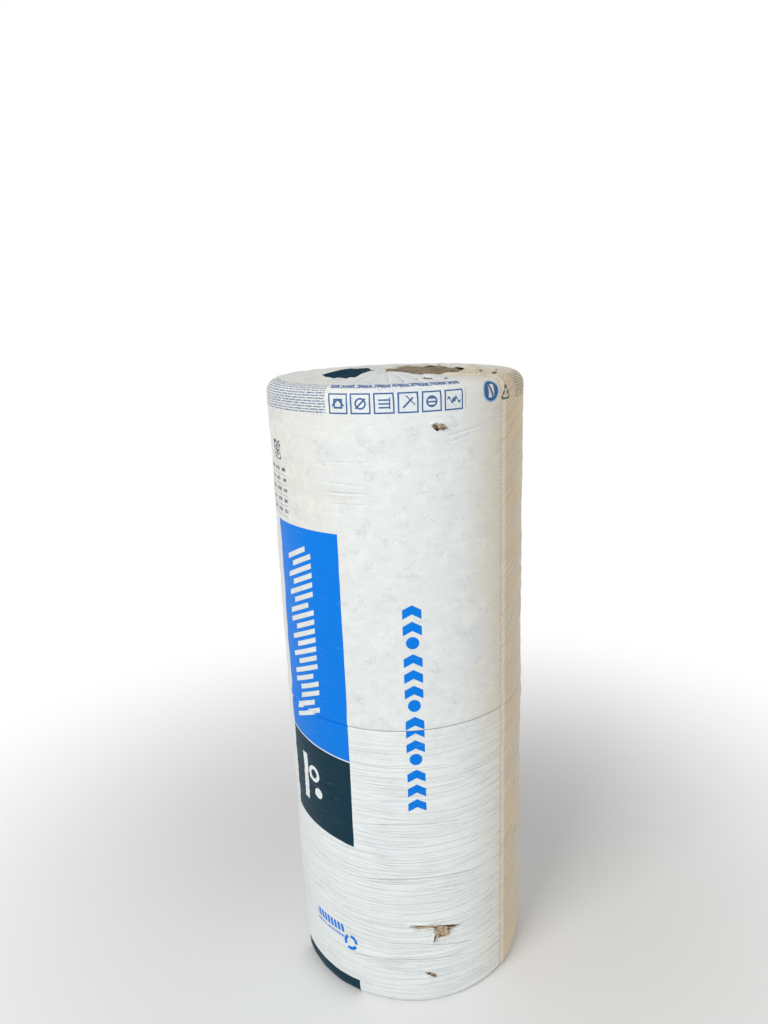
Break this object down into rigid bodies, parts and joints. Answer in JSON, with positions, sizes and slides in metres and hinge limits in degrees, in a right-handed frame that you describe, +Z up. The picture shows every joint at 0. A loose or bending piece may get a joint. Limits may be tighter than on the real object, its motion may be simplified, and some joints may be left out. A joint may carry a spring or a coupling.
{
  "type": "insulation roll",
  "caption": "Glass wool insulation roll standing on end: wound mats stacked in a printed film sleeve, lapped down the side, tucked in at mid-height and pleated over both ends.",
  "frame": {"origin": "centre of the underside, on the floor that the roll stands on", "axes": "+Z up along the roll's axis, -Y towards the side with the picture boxes and the printed bands at its left"},
  "size_m": [0.4725, 0.4726, 1.2],
  "materials": {
    "glass_wool": "matt tangled fibre, brown",
    "film": "milky polyethylene film, satin, printed in blue and dark teal"
  },
  "bodies": {
    "root": {"wool_roll_upper": "glass_wool", "wool_roll_lower": "glass_wool", "film_sleeve": "film"}
  },
  "joints": []
}
